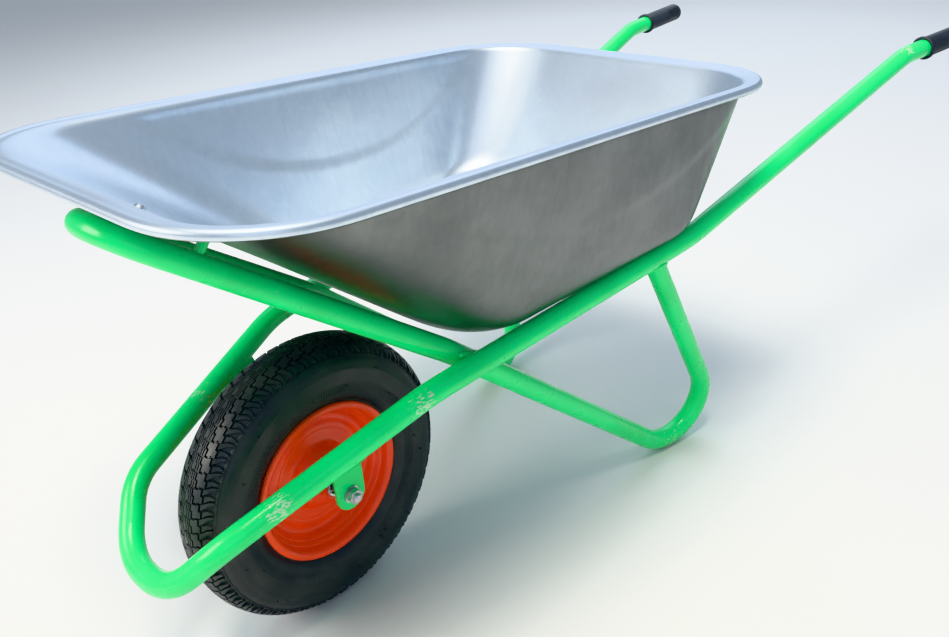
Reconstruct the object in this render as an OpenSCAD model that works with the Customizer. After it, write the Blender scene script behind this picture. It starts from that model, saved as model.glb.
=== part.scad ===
// Wheelbarrow: two bent tubes carry a deep tray, and the front tube loops round a pneumatic wheel.
// X runs forward to the wheel, Y to the left, Z up, and the ground is Z = 0.

/* [Frame tubes] */
// Outside diameter of both frame tubes
tube_d = 32; // [28:0.5:36]
// Wall of both frame tubes
tube_wall = 2; // [1.5:0.1:3]
// Left end of the main tube, inside the grip
handle_end = [-831.5, 325.5, 540]; // [-900:1:900]
// Corner where the handle levels out
handle_bend = [-624, 304, 542]; // [-900:1:900]
// Corner under the tray's rear
rear_bend = [-15, 235, 394]; // [-900:1:900]
// Corner under the tray's nose
front_bend = [487, 174, 352]; // [-900:1:900]
// Corner where the loop round the wheel starts
loop_side = [768, 105, 262]; // [-900:1:900]
// Corner of the loop in front of the wheel
loop_corner = [821, 47, 199]; // [-900:1:900]
// Bend radii at those five corners
main_radii = [120, 250, 200, 90, 80]; // [60:5:300]
// Corner of the leg tube under the tray's nose
nose_corner = [783, 56, 651]; // [-900:1:900]
// Corner of the leg tube beside the crossing
crossing_bend = [424, 148, 374]; // [-900:1:900]
// Corner that the foot rounds off, below the ground
foot_corner = [-227, 213.5, -206]; // [-900:1:900]
// Top of the upright, on the main tube
upright_top = [67, 223, 386]; // [-900:1:900]
// Bend radii at the nose, the crossing and the foot
leg_radii = [64, 250, 72]; // [50:1:300]

/* [Tray] */
// Thickness of the tray's sheet
sheet = 1.5; // [1:0.1:3]
// Front and rear edge of the tray's floor
floor_x = [395, -45]; // [-900:1:900]
// Half width of the floor at the front and at the rear
floor_half = [206, 250]; // [100:1:320]
// Corner radius of the floor at the front and at the rear
floor_r = [95, 85]; // [40:1:150]
// Front and rear top edge of the tray's walls
wall_x = [788, -176]; // [-900:1:900]
// Half width between the top edges of the side walls
wall_half = [290, 286]; // [100:1:320]
// Corner radius of the walls' top edge
wall_r = [124, 122]; // [40:1:180]
// Height of the rim at the front and at the rear
rim_z = [708, 615]; // [400:1:800]
// Width of the rim's flange
flange_w = 25; // [15:1:35]
// Depth of the rim's turned down lip
lip_h = 10; // [5:1:20]

/* [Wheel] */
// Distance of the axle in front of the object's middle
axle_x = 565; // [500:1:600]
// Outside radius of the tyre
wheel_r = 200; // [180:1:210]
// Width of the tyre
tyre_w = 94; // [80:1:105]
// Outside radius of the rim's flange
rim_r = 111.5; // [100:0.5:120]
// Width of the rim over its flanges
rim_w = 73; // [60:1:80]
// Thickness of the rim's pressed sheet
rim_t = 2; // [1.5:0.1:3]

/* [Axle and bearings] */
// Radius of the axle's threaded rod
axle_r = 6; // [5:0.5:10]
// Distance of each bracket's inner face from the middle
bracket_y = 76; // [70:1:90]
// Thickness of the brackets' plate
bracket_t = 4; // [3:0.5:6]
// Width of the brackets
bracket_w = 46; // [30:1:60]
// Half the length of the hub tube
hub_half = 50; // [40:1:60]
// Radius over the bearings' outer rings
bearing_r = 16; // [14:1:20]
// Width of each bearing
bearing_w = 10; // [8:1:14]

/* [Grips] */
// Length of each grip
grip_l = 148; // [110:1:160]
// Outside diameter of each grip
grip_d = 38; // [36:1:42]
// Outside diameter of the collar at the grip's open end
collar_d = 43; // [40:1:50]

/* [Fasteners] */
// Radius of the tray bolts
bolt_r = 4; // [3:0.5:5]
// Place of the two nose bolts along X
nose_bolt_x = 712; // [640:1:740]
// Place of the crossbar and its two bolts along X
crossbar_x = 60; // [20:1:120]
// Distance of the crossbar's bolts from the middle
crossbar_bolt_y = 110; // [60:1:160]

/* [Hidden] */

$fn = 64;
green = "#0a9a55";
steel = "#b9bdc1";
zinc = "#a9b2ba";
orange = "#d8431f";
black = "#1d2024";
fit_gap = 0.05;
skin_gap = 0.3;
weld_gap = 1;
seam = 0.02;
seam_lap = 0.6;
slack = 0.4;
tube_r = tube_d / 2;
axle_at = [axle_x, 0, wheel_r];

// One side of each tube, from its free end to the middle
main_side = [handle_end, handle_bend, rear_bend, front_bend, loop_side, loop_corner];
leg_side = [upright_top, foot_corner, crossing_bend, nose_corner];
main_points = concat(main_side, across(main_side));
leg_points = concat(leg_side, across(leg_side));
main_bends = concat([0], main_radii, [for (i = [4 : -1 : 0]) main_radii[i]], [0]);
leg_bends = [0, leg_radii[2], leg_radii[1], leg_radii[0], leg_radii[0], leg_radii[1], leg_radii[2], 0];

// Slope and height of the tray's floor, which lies on the main tube
floor_slope = (front_bend.z - rear_bend.z) / (front_bend.x - rear_bend.x);
floor_z0 = rear_bend.z - rear_bend.x * floor_slope + tube_r * sqrt(1 + floor_slope * floor_slope);
rim_slope = (rim_z[0] - rim_z[1]) / (wall_x[0] - wall_x[1] + 2 * flange_w);
rim_z0 = rim_z[0] - (wall_x[0] + flange_w) * rim_slope;
floor_tilt = atan(floor_slope);

// Front wall of the tray, which the nose bolts go through
nose_rise = rim_height(wall_x[0]) - floor_height(floor_x[0]);
nose_run = wall_x[0] - floor_x[0];
nose_tilt = atan(nose_rise / nose_run);
nose_tube = between(crossing_bend, nose_corner, nose_bolt_x);
nose_wall_z = floor_height(floor_x[0]) + (nose_bolt_x - floor_x[0]) * nose_rise / nose_run;
nose_reach = (nose_wall_z - nose_tube.z) * cos(nose_tilt);
crossbar_t = 4;
crossbar_w = 40;

// Heights of the floor's underside and of the rim above X
function floor_height(x) = floor_z0 + x * floor_slope + skin_gap;
function rim_height(x) = rim_z0 + x * rim_slope;

// A list of points, mirrored to the right side in reverse order
function across(points) = [for (i = [len(points) - 1 : -1 : 0]) [points[i].x, -points[i].y, points[i].z]];

// The point with a given X on the line through a and b
function between(a, b, x) = a + (b - a) * (x - a.x) / (b.x - a.x);

function unit(v) = v / norm(v);
function blend(a, b, t) = a * (1 - t) + b * t;

// How far a bend at corner i of a path reaches along its two straight runs
function turn(p, i) = acos(unit(p[i] - p[i - 1]) * unit(p[i + 1] - p[i]));
function reach(p, r, i) = r[i] == 0 ? 0 : r[i] * tan(turn(p, i) / 2);

// Places children with their X, Y and Z along three given directions
module stand(x, y, z, at) {
    multmatrix([[x.x, y.x, z.x, at.x], [x.y, y.y, z.y, at.y], [x.z, y.z, z.z, at.z], [0, 0, 0, 1]])
        children();
}

// Places children with Z from a towards b
module aim(a, b) {
    z = unit(b - a);
    x = unit(cross([0, 0, 1], z));
    stand(x, cross(z, x), z, a)
        children();
}

// Round section of a tube, solid where the bore is 0
module section(outer, bore) {
    difference() {
        circle(outer);
        if (bore > 0)
            circle(bore);
    }
}

// Tube along a path: straight runs between corners, and an arc of a ring at each corner.
// Each arc is a seam thinner than the runs and starts inside them, so that they join cleanly.
module bent_tube(p, r, outer, bore) {
    for (i = [0 : len(p) - 2]) {
        dir = unit(p[i + 1] - p[i]);
        a = p[i] + dir * reach(p, r, i);
        b = p[i + 1] - dir * reach(p, r, i + 1);
        aim(a, b)
            linear_extrude(norm(b - a))
                section(outer, bore);
    }
    for (i = [1 : len(p) - 2]) {
        u = unit(p[i] - p[i - 1]);
        v = unit(p[i + 1] - p[i]);
        axis = unit(cross(u, v));
        centre = p[i] + unit(v - u) * r[i] / cos(turn(p, i) / 2);
        lap = asin(seam_lap / r[i]);
        stand(cross(u, axis), u, axis, centre)
            rotate(-lap)
                rotate_extrude(angle = turn(p, i) + 2 * lap)
                    translate([r[i], 0])
                        section(outer - seam, bore + seam);
    }
}

// A solid rod through a straight run of a tube, to cut what is welded to it
module run_rod(a, b, radius) {
    aim(a, b)
        cylinder(h = norm(b - a), r = radius);
}

// Both sides of something drawn on the left
module both_sides() {
    children();
    mirror([0, 1, 0])
        children();
}

// Turns a profile of radius and distance along the axle into a round part of the wheel
module turned() {
    translate(axle_at)
        rotate([90, 0, 0])
            rotate_extrude($fn = 128)
                children();
}

// Flat ring on the axle between two distances from the middle
module axle_ring(from, to, outer, inner) {
    translate([axle_x, to, wheel_r])
        rotate([90, 0, 0])
            linear_extrude(to - from)
                section(outer, inner);
}

// Holes of the nose bolts: Z points out of the tray through its front wall
module nose_bolt_frame() {
    translate([nose_tube.x, nose_tube.y, nose_tube.z])
        rotate([0, -nose_tilt, 0])
            children();
}

// Frame of the crossbar's bolts: Z points up through the floor from its underside
module crossbar_bolt_frame() {
    translate([crossbar_x, crossbar_bolt_y, floor_height(crossbar_x)])
        rotate([0, -floor_tilt, 0])
            children();
}

module main_frame_tube() {
    color(green)
        bent_tube(main_points, main_bends, tube_r, tube_r - tube_wall);
}

module leg_frame_tube() {
    color(green)
        difference() {
            bent_tube(leg_points, leg_bends, tube_r, tube_r - tube_wall);
            both_sides()
                run_rod(rear_bend, front_bend, tube_r + weld_gap);
            both_sides()
                nose_bolt_frame()
                    cylinder(h = 2 * tube_r, r = bolt_r + slack);
        }
}

// Flat bar under the floor, its ends cut to the main tube
module rear_crossbar() {
    half = between(rear_bend, front_bend, crossbar_x).y - 2;
    color(green)
        difference() {
            translate([crossbar_x, 0, floor_height(crossbar_x)])
                rotate([0, -floor_tilt, 0])
                    translate([-crossbar_w / 2, -half, -crossbar_t - fit_gap])
                        cube([crossbar_w, 2 * half, crossbar_t]);
            both_sides()
                run_rod(rear_bend, front_bend, tube_r + fit_gap);
            both_sides()
                crossbar_bolt_frame()
                    cylinder(h = 6 * crossbar_t, r = bolt_r + slack, center = true);
        }
}

/* The tray is a stack of rings. A ring is an outline with round corners, widened by `out`. */

ring_steps = 12;

// Corner arc of an outline: sign of X, sign of Y, and the start angle
function corner(x, half, r, out, side, start) = [
    for (i = [0 : ring_steps])
        let (a = start + 90 * i / ring_steps)
        [x - (start == 0 || start == 270 ? 1 : -1) * r, side * (half - r)]
            + (r + out) * [cos(a), sin(a)]
];

// Outline of the floor at index 0 and of the rim at index 1
function outline(at, out) = concat(
    corner(at == 0 ? floor_x[0] : wall_x[0], side_half(at)[0], side_r(at)[0], out, 1, 0),
    corner(at == 0 ? floor_x[1] : wall_x[1], side_half(at)[1], side_r(at)[1], out, 1, 90),
    corner(at == 0 ? floor_x[1] : wall_x[1], side_half(at)[1], side_r(at)[1], out, -1, 180),
    corner(at == 0 ? floor_x[0] : wall_x[0], side_half(at)[0], side_r(at)[0], out, -1, 270)
);

function side_half(at) = at == 0 ? floor_half : wall_half;
function side_r(at) = at == 0 ? floor_r : wall_r;

// Ring [share, out, rise] as points in space: share 0 is the floor, 1 is the rim
function ring(k) =
    let (low = outline(0, k[1]), high = outline(1, k[1]))
    [
        for (i = [0 : len(low) - 1])
            blend(
                [low[i].x, low[i].y, floor_height(low[i].x)],
                [high[i].x, high[i].y, rim_height(high[i].x)],
                k[0]
            ) + [0, 0, k[2]]
    ];

// Rounded turn from k to m past the corner l, as rings
function round_turn(k, l, m, steps) = [
    for (i = [0 : steps])
        let (t = i / steps)
        k * (1 - t) * (1 - t) + l * 2 * t * (1 - t) + m * t * t
];

floor_edge = 30;
inside = concat(
    round_turn([0, -floor_edge, sheet], [0, 0, sheet], [0.14, 0, sheet], 6),
    [for (s = [0.35, 0.6, 0.85]) [s, 0, sheet * (1 - s)]],
    round_turn([0.96, 0, 0], [1, 0, 0], [1, 8, 0], 4),
    round_turn([1, flange_w - 7, 0], [1, flange_w, 0], [1, flange_w, -7], 4),
    [[1, flange_w, -lip_h]]
);
inside_count = len(inside);
outside = concat(
    [[1, flange_w - sheet, -lip_h]],
    round_turn([1, flange_w - sheet, -7], [1, flange_w - sheet, -sheet], [1, flange_w - 7, -sheet], 3),
    [for (i = [inside_count - 7 : -1 : 0]) inside[i] + [0, inside[i][0] > 0 ? sheet : 0, -sheet]]
);

module tray_shell() {
    rings = concat(inside, outside);
    count = len(outline(0, 0));
    points = [for (k = rings) each ring(k)];
    last = len(rings) - 1;
    sides = [
        for (j = [0 : last - 1])
            for (i = [0 : count - 1])
                let (a = j * count + i, b = j * count + (i + 1) % count)
                each [[a, b, b + count], [a, b + count, a + count]]
    ];
    floor_top = [for (i = [count - 1 : -1 : 0]) i];
    floor_under = [for (i = [0 : count - 1]) last * count + i];
    polyhedron(points, concat([floor_top], sides, [floor_under]), convexity = 6);
}

module tray() {
    color(zinc)
        difference() {
            tray_shell();
            both_sides()
                nose_bolt_frame()
                    cylinder(h = 200, r = bolt_r + slack);
            both_sides()
                crossbar_bolt_frame()
                    cylinder(h = 20, r = bolt_r + slack, center = true);
        }
}

// Closed sleeve with a collar, pushed onto the main tube's end
module grip() {
    back = unit(handle_end - handle_bend);
    cap = 4;
    mouth = handle_end + back * (cap - grip_l);
    color(black)
        aim(mouth, handle_end)
            rotate_extrude()
                polygon([
                    [0, grip_l], [0, grip_l - cap + skin_gap], [tube_r + fit_gap, grip_l - cap + skin_gap],
                    [tube_r + fit_gap, 0], [collar_d / 2 - 1, 0], [collar_d / 2, 1],
                    [collar_d / 2, 6], [collar_d / 2 - 1, 7], [grip_d / 2, 9],
                    [grip_d / 2, grip_l - 4], [grip_d / 2 - 4, grip_l]
                ]);
}

module grip_left() {
    grip();
}

module grip_right() {
    mirror([0, 1, 0])
        grip();
}

// Plate from the loop's arm down and in to the axle, with a round lower end
module axle_bracket() {
    arm = between(front_bend, loop_side, axle_x);
    knee = wheel_r + 34;
    round_r = bracket_w / 2;
    lean = [arm.y - bracket_y, arm.z - knee];
    side = bracket_t * [lean.y, -lean.x] / norm(lean);
    color(green)
        difference() {
            intersection() {
                translate([axle_x - round_r, 0, 0])
                    rotate([90, 0, 90])
                        linear_extrude(bracket_w)
                            polygon([
                                [bracket_y, 0], [bracket_y, knee], [arm.y, arm.z],
                                [arm.y, arm.z] + side, [bracket_y + bracket_t, knee - side.y / 4],
                                [bracket_y + bracket_t, 0]
                            ]);
                translate([axle_x, 0, wheel_r]) {
                    rotate([-90, 0, 0])
                        cylinder(h = 2 * arm.y, r = round_r);
                    translate([-round_r, 0, 0])
                        cube([bracket_w, 2 * arm.y, arm.z]);
                }
            }
            run_rod(front_bend, loop_side, tube_r + fit_gap);
            translate([axle_x, 0, wheel_r])
                rotate([-90, 0, 0])
                    cylinder(h = arm.y, r = axle_r + fit_gap);
        }
}

module axle_bracket_left() {
    axle_bracket();
}

module axle_bracket_right() {
    mirror([0, 1, 0])
        axle_bracket();
}

washer_t = 2.5;
nut_h = 10;
nut_start = bracket_y + bracket_t + washer_t;
axle_half = nut_start + nut_h + 5;

module axle() {
    color(steel)
        axle_ring(-axle_half, axle_half, axle_r, 0);
}

// Hexagon nut for the axle, 19 across flats
module axle_nut() {
    color(steel)
        translate([axle_x, nut_start + nut_h, wheel_r])
            rotate([90, 0, 0])
                difference() {
                    cylinder(h = nut_h, d = 19 / cos(30), $fn = 6);
                    translate([0, 0, -1])
                        cylinder(h = nut_h + 2, r = axle_r + fit_gap);
                }
}

module axle_washer() {
    color(steel)
        axle_ring(bracket_y + bracket_t, nut_start, 2 * axle_r, axle_r + fit_gap);
}

// Sleeve that keeps the bracket off the bearing
module axle_spacer() {
    color(steel)
        axle_ring(hub_half, bracket_y, axle_r + 3, axle_r + fit_gap);
}

bearing_start = hub_half - bearing_w;
race_inner = axle_r + 3;
race_outer = bearing_r - 3;
pitch_r = (race_inner + race_outer) / 2;
ball_r = 2.2;
ball_count = 9;

module bearing_inner() {
    color(steel)
        difference() {
            axle_ring(bearing_start, hub_half, race_inner, axle_r + fit_gap);
            bearing_groove();
        }
}

module bearing_outer() {
    color(steel)
        difference() {
            axle_ring(bearing_start, hub_half, bearing_r, race_outer);
            bearing_groove();
        }
}

// Track that the balls run in
module bearing_groove() {
    translate([axle_x, bearing_start + bearing_w / 2, wheel_r])
        rotate([90, 0, 0])
            rotate_extrude()
                translate([pitch_r, 0])
                    circle(ball_r + slack);
}

// Ball row in its cage
module bearing_balls() {
    color(steel)
        translate([axle_x, bearing_start + bearing_w / 2, wheel_r])
            rotate([90, 0, 0]) {
                for (i = [0 : ball_count - 1])
                    rotate(360 * i / ball_count)
                        translate([pitch_r, 0, 0])
                            sphere(ball_r, $fn = 32);
                translate([0, 0, -0.5])
                    linear_extrude(1)
                        section(pitch_r + 0.5, pitch_r - 0.5);
            }
}

module hub_tube() {
    color(orange)
        axle_ring(-hub_half, hub_half, bearing_r + 4, bearing_r + fit_gap);
}

// Half of the rim: flange, bead seat, well, dished disc and raised hub, as one pressed sheet
module rim_half() {
    hub_r = bearing_r + 4 + fit_gap;
    seat = rim_r - 10;
    well = rim_r - 24;
    half = rim_w / 2;
    turned()
        polygon([
            [rim_r, -half], [rim_r, -half + rim_t], [seat + rim_t + 2, -half + rim_t + 1],
            [seat + rim_t, -half + 5], [seat + rim_t, -18], [well + rim_t, -9],
            [well + rim_t, 0], [well - 8, 0], [well - 16, -4], [hub_r + 26, -4],
            [hub_r + 14, -24], [hub_r, -30], [hub_r, -30 - rim_t], [hub_r + 15, -24 - rim_t],
            [hub_r + 27, -4 - rim_t - 1], [well - 16, -4 - rim_t], [well - 7, -rim_t],
            [well, -rim_t], [well, -10], [seat, -19], [seat, -half + 4],
            [seat + 3, -half]
        ]);
}

// Frame of the valve: Z points out of the rim's well towards the tyre
module valve_frame() {
    translate(axle_at)
        rotate([0, 90, 0])
            translate([0, valve_y, rim_r - 20])
                rotate([valve_tilt, 0, 0])
                    children();
}

valve_y = 14;
valve_tilt = 20;

module rim_left() {
    color(orange)
        difference() {
            rim_half();
            valve_frame()
                cylinder(h = 40, r = 4 + slack, center = true);
        }
}

module rim_right() {
    color(orange)
        mirror([0, 1, 0])
            rim_half();
}

// Section of the tyre: superellipse outside, the tube's room inside, open at the beads
section_mid = (wheel_r + rim_r - 8) / 2;
section_half = wheel_r - section_mid;

// Superellipse point at angle a
function squircle(rx, ry, a, e) = [
    section_mid + rx * sign(cos(a)) * pow(abs(cos(a)), e),
    ry * sign(sin(a)) * pow(abs(sin(a)), e)
];

bead_angle = 136;

module tyre() {
    wall = 7;
    outer = [for (a = [-bead_angle : 8 : bead_angle]) squircle(section_half, tyre_w / 2, a, 0.84)];
    inner = [for (a = [bead_angle - 10 : -8 : 10 - bead_angle])
        squircle(section_half - wall - 3, tyre_w / 2 - wall, a, 0.84)];
    bead = rim_w / 2 - rim_t - 2;
    seat = rim_r - 10 + rim_t + skin_gap;
    color(black)
        turned()
            polygon(concat(
                outer,
                [[rim_r + 1, bead + 1], [seat + 3, bead], [seat, bead - 2], [seat, bead - 12]],
                inner,
                [[seat, 12 - bead], [seat, 2 - bead], [seat + 3, -bead], [rim_r + 1, -bead - 1]]
            ));
}

// Air tube, a hollow ring between the tyre and the rim's well
module inner_tube() {
    mid = (wheel_r - 10 + rim_r - 10) / 2 + 1;
    radius = 31;
    color(black)
        translate(axle_at)
            rotate([90, 0, 0])
                rotate_extrude($fn = 96)
                    translate([mid, 0])
                        section(radius, radius - 2);
}

// Rubber stem that leaves the rim's well sideways
module valve_stem() {
    color(black)
        valve_frame()
            translate([0, 0, -26])
                cylinder(h = 30, r = 4);
}

module valve_cap() {
    color(black)
        valve_frame()
            translate([0, 0, -38])
                cylinder(h = 12, r = 5);
}

head_h = 4;
tray_nut_h = 6.5;
tray_washer_t = 1.6;
nose_tip = tube_r - tube_wall - 5;

module tray_bolts() {
    color(steel)
        both_sides() {
            nose_bolt_frame()
                tray_bolt(nose_tip, nose_top);
            crossbar_bolt_frame()
                tray_bolt(-crossbar_t - tray_washer_t - tray_nut_h - 4, sheet + fit_gap + 0.1);
        }
}

// Inner face of the front wall above the tube's middle, along the bolt
nose_top = nose_reach + 0.5;

// Round headed bolt from its tip to the underside of its head
module tray_bolt(tip, head) {
    translate([0, 0, tip])
        cylinder(h = head - tip, r = bolt_r);
    translate([0, 0, head])
        cylinder(h = head_h, r1 = 2 * bolt_r, r2 = 1.4 * bolt_r);
}

module tray_washers() {
    color(steel)
        both_sides()
            crossbar_bolt_frame()
                translate([0, 0, -crossbar_t - tray_washer_t - 2 * fit_gap])
                    linear_extrude(tray_washer_t)
                        section(2 * bolt_r + 1, bolt_r + fit_gap);
}

// Hexagon nuts under the crossbar, 13 across flats
module tray_nuts() {
    color(steel)
        both_sides()
            crossbar_bolt_frame()
                translate([0, 0, -crossbar_t - tray_washer_t - tray_nut_h - 2 * fit_gap])
                    difference() {
                        cylinder(h = tray_nut_h, d = 13 / cos(30), $fn = 6);
                        translate([0, 0, -1])
                            cylinder(h = tray_nut_h + 2, r = bolt_r + fit_gap);
                    }
}

// Threaded bosses, welded on the leg tube, that carry the tray's nose
module nose_bosses() {
    color(green)
        both_sides()
            difference() {
                nose_bolt_frame()
                    linear_extrude(nose_reach - sheet * (sin(nose_tilt) + cos(nose_tilt)) - fit_gap)
                        section(bolt_r + 2.5, bolt_r + fit_gap);
                run_rod(crossing_bend, nose_corner, tube_r + fit_gap);
            }
}

main_frame_tube();
leg_frame_tube();
rear_crossbar();
tray();
grip_left();
grip_right();
axle_bracket_left();
axle_bracket_right();
axle();
axle_nut();  // axle_nut_left
mirror([0, 1, 0]) axle_nut();  // axle_nut_right
axle_washer();  // axle_washer_left
mirror([0, 1, 0]) axle_washer();  // axle_washer_right
axle_spacer();  // axle_spacer_left
mirror([0, 1, 0]) axle_spacer();  // axle_spacer_right
bearing_inner();  // bearing_inner_left
mirror([0, 1, 0]) bearing_inner();  // bearing_inner_right
bearing_balls();  // bearing_balls_left
mirror([0, 1, 0]) bearing_balls();  // bearing_balls_right
bearing_outer();  // bearing_outer_left
mirror([0, 1, 0]) bearing_outer();  // bearing_outer_right
hub_tube();
rim_left();
rim_right();
tyre();
inner_tube();
valve_stem();
valve_cap();
tray_bolts();
tray_washers();
tray_nuts();
nose_bosses();
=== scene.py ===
"""Looks of a steel wheelbarrow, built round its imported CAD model.

Sizes in the classes are millimetres in the object's frame: X forward, Y left, Z up. Every new
piece is a surface worked out with numpy, as a grid of two parameters or a profile on a path.
"""

import logging
import math
from dataclasses import dataclass
from enum import Enum

import bpy
import numpy as np
from mathutils import Matrix, Vector


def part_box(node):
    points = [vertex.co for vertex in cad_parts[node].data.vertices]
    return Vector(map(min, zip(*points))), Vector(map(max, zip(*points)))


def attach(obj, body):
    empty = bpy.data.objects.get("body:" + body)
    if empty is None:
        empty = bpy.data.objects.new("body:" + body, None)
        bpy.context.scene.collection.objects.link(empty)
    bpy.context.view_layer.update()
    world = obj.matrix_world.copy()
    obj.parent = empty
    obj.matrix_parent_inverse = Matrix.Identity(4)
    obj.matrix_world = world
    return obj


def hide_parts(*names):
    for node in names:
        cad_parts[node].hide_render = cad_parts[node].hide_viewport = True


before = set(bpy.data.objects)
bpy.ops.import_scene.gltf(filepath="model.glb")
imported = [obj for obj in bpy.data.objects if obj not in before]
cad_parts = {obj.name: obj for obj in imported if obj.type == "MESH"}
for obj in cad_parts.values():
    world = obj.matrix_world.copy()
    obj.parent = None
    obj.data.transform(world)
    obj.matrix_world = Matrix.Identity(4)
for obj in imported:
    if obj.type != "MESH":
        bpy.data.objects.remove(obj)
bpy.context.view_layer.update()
log = logging.getLogger("wheelbarrow")
Array = np.ndarray
Tree = bpy.types.NodeTree
Socket = bpy.types.NodeSocket
Node = bpy.types.Node
Point = tuple[float, float, float]
Pair = tuple[float, float]


class Body(Enum):
    """Bodies of the CAD model that pieces ride on."""

    FRAME = "frame"
    WHEEL = "wheel"


class Side(Enum):
    """Hand of a mirrored piece, as the word in its name and the sign of its Y."""

    LEFT = ("left", 1.0)
    RIGHT = ("right", -1.0)

    @property
    def hand(self) -> str:
        """Returns the word in the names of this side's pieces."""
        return self.value[0]

    @property
    def flip(self) -> Array:
        """Returns what a point of the left side is multiplied by to reach this side."""
        return np.array([1.0, self.value[1], 1.0])


def linear(code: str) -> tuple[float, float, float, float]:
    """Turns an sRGB hex colour into a linear one.

    Args:
        code: Colour such as "#12ab34".

    Returns:
        Red, green, blue and an alpha of 1.
    """
    parts = [int(code[i : i + 2], 16) / 255 for i in (1, 3, 5)]
    return (*(p / 12.92 if p <= 0.04045 else ((p + 0.055) / 1.055) ** 2.4 for p in parts), 1.0)


def per(size: float) -> float:
    """Returns a texture's scale for lumps of a size in millimetres, on coordinates in metres."""
    return 1000 / size


def add_node(tree: Tree, kind: str, inputs: dict[str | int, object], **settings: object) -> Node:
    """Adds a shader node with its settings and links.

    Args:
        tree: Node tree of the material or the world.
        kind: Type name of the node.
        inputs: Value, output socket or node for each input, by name or number. A node stands
            for its first output.
        **settings: Properties of the node.

    Returns:
        The new node.
    """
    node = tree.nodes.new(kind)
    for name, value in settings.items():
        setattr(node, name, value)
    for key, value in inputs.items():
        if isinstance(value, Node):
            value = value.outputs[0]
        if isinstance(value, Socket):
            tree.links.new(value, node.inputs[key])
        else:
            node.inputs[key].default_value = value
    return node


@dataclass(frozen=True)
class Finish:
    """Ground of every finish: how a material is made once and then shared."""

    name: str
    slot: str

    def material(self) -> bpy.types.Material:
        """Builds this finish's material the first time that it is asked for.

        Returns:
            The material, which all pieces of this finish share.
        """
        known = bpy.data.materials.get(self.name)
        if known:
            return known
        made = bpy.data.materials.new(self.name)
        made.use_nodes = True
        tree = made.node_tree
        tree.nodes.clear()
        place = add_node(tree, "ShaderNodeTexCoord", {}).outputs["Object"]
        shader = add_node(tree, "ShaderNodeBsdfPrincipled", self.dress(tree, place))
        add_node(tree, "ShaderNodeOutputMaterial", {"Surface": shader})
        return made

    def dress(self, tree: Tree, place: Socket) -> dict[str, object]:
        """Adds the nodes of this finish.

        Args:
            tree: Node tree of the material.
            place: Object coordinates in metres.

        Returns:
            Value or node for each input of the Principled shader.
        """
        raise NotImplementedError


@dataclass(frozen=True)
class Enamel(Finish):
    """Gloss enamel, sprayed on steel: deep colour under a hard reflection, with scuffs where it rubs."""

    colour: str
    deep: str
    scuff: str
    spots: tuple[tuple[float, float, float, float], ...] = ()
    roughness: float = 0.3

    def dress(self, tree: Tree, place: Socket) -> dict[str, object]:
        """Mixes two shades over 120 mm, wears the paint inside each spot, and adds orange peel of 5 mm.

        The flakes are 2.6 mm wide, coarser than the real ones so that they show.

        Args:
            tree: Node tree of the material.
            place: Object coordinates in metres.

        Returns:
            Value or node for each input of the Principled shader.
        """
        smooth_step = {"interpolation_type": "SMOOTHSTEP"}
        cloud = add_node(tree, "ShaderNodeTexNoise", {"Vector": place, "Scale": per(120.0)})
        share = add_node(
            tree, "ShaderNodeMapRange", {"Value": cloud, "From Min": 0.35, "From Max": 0.65}, **smooth_step
        )
        shades = {0: share, 6: linear(self.colour), 7: linear(self.deep)}
        paint = add_node(tree, "ShaderNodeMix", shades, data_type="RGBA").outputs[2]
        chips = add_node(tree, "ShaderNodeTexNoise", {"Vector": place, "Scale": per(14.0), "Detail": 8.0})
        worn = add_node(
            tree,
            "ShaderNodeMapRange",
            {"Value": chips, "From Min": 0.75, "From Max": 0.77, "To Max": 0.3},
            **smooth_step,
        )
        drawn = add_node(tree, "ShaderNodeMapping", {"Vector": place, "Scale": (0.35, 1.0, 1.0)})
        flakes = add_node(tree, "ShaderNodeTexNoise", {"Vector": drawn, "Scale": per(2.6), "Detail": 4.0})
        for x, y, z, radius in self.spots:
            ends = {0: place, 1: (x / 1000, y / 1000, z / 1000)}
            far = add_node(tree, "ShaderNodeVectorMath", ends, operation="DISTANCE").outputs["Value"]
            near = add_node(
                tree,
                "ShaderNodeMapRange",
                {"Value": far, "From Min": radius / 1000, "From Max": 0.0, "To Max": 0.3},
                **smooth_step,
            )
            here = add_node(tree, "ShaderNodeMath", {0: near, 1: flakes}, operation="ADD")
            here = add_node(
                tree, "ShaderNodeMapRange", {"Value": here, "From Min": 0.72, "From Max": 0.86}, **smooth_step
            )
            worn = add_node(tree, "ShaderNodeMath", {0: worn, 1: here}, operation="MAXIMUM")
        shades = {0: worn, 6: paint, 7: linear(self.scuff)}
        haze = add_node(tree, "ShaderNodeTexNoise", {"Vector": place, "Scale": per(40.0), "Detail": 4.0})
        rough = add_node(
            tree,
            "ShaderNodeMapRange",
            {
                "Value": haze,
                "From Min": 0.3,
                "From Max": 0.7,
                "To Min": self.roughness - 0.05,
                "To Max": self.roughness + 0.08,
            },
            **smooth_step,
        )
        peel = add_node(tree, "ShaderNodeTexNoise", {"Vector": place, "Scale": per(5.0)})
        return {
            "Base Color": add_node(tree, "ShaderNodeMix", shades, data_type="RGBA").outputs[2],
            "Roughness": add_node(
                tree, "ShaderNodeMath", {0: worn, 1: 0.35, 2: rough}, operation="MULTIPLY_ADD"
            ),
            "Normal": add_node(tree, "ShaderNodeBump", {"Height": peel, "Distance": 0.03 / 1000}),
            "Coat Weight": 0.3,
            "Coat Roughness": 0.08,
            "IOR": 1.5,
        }


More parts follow.
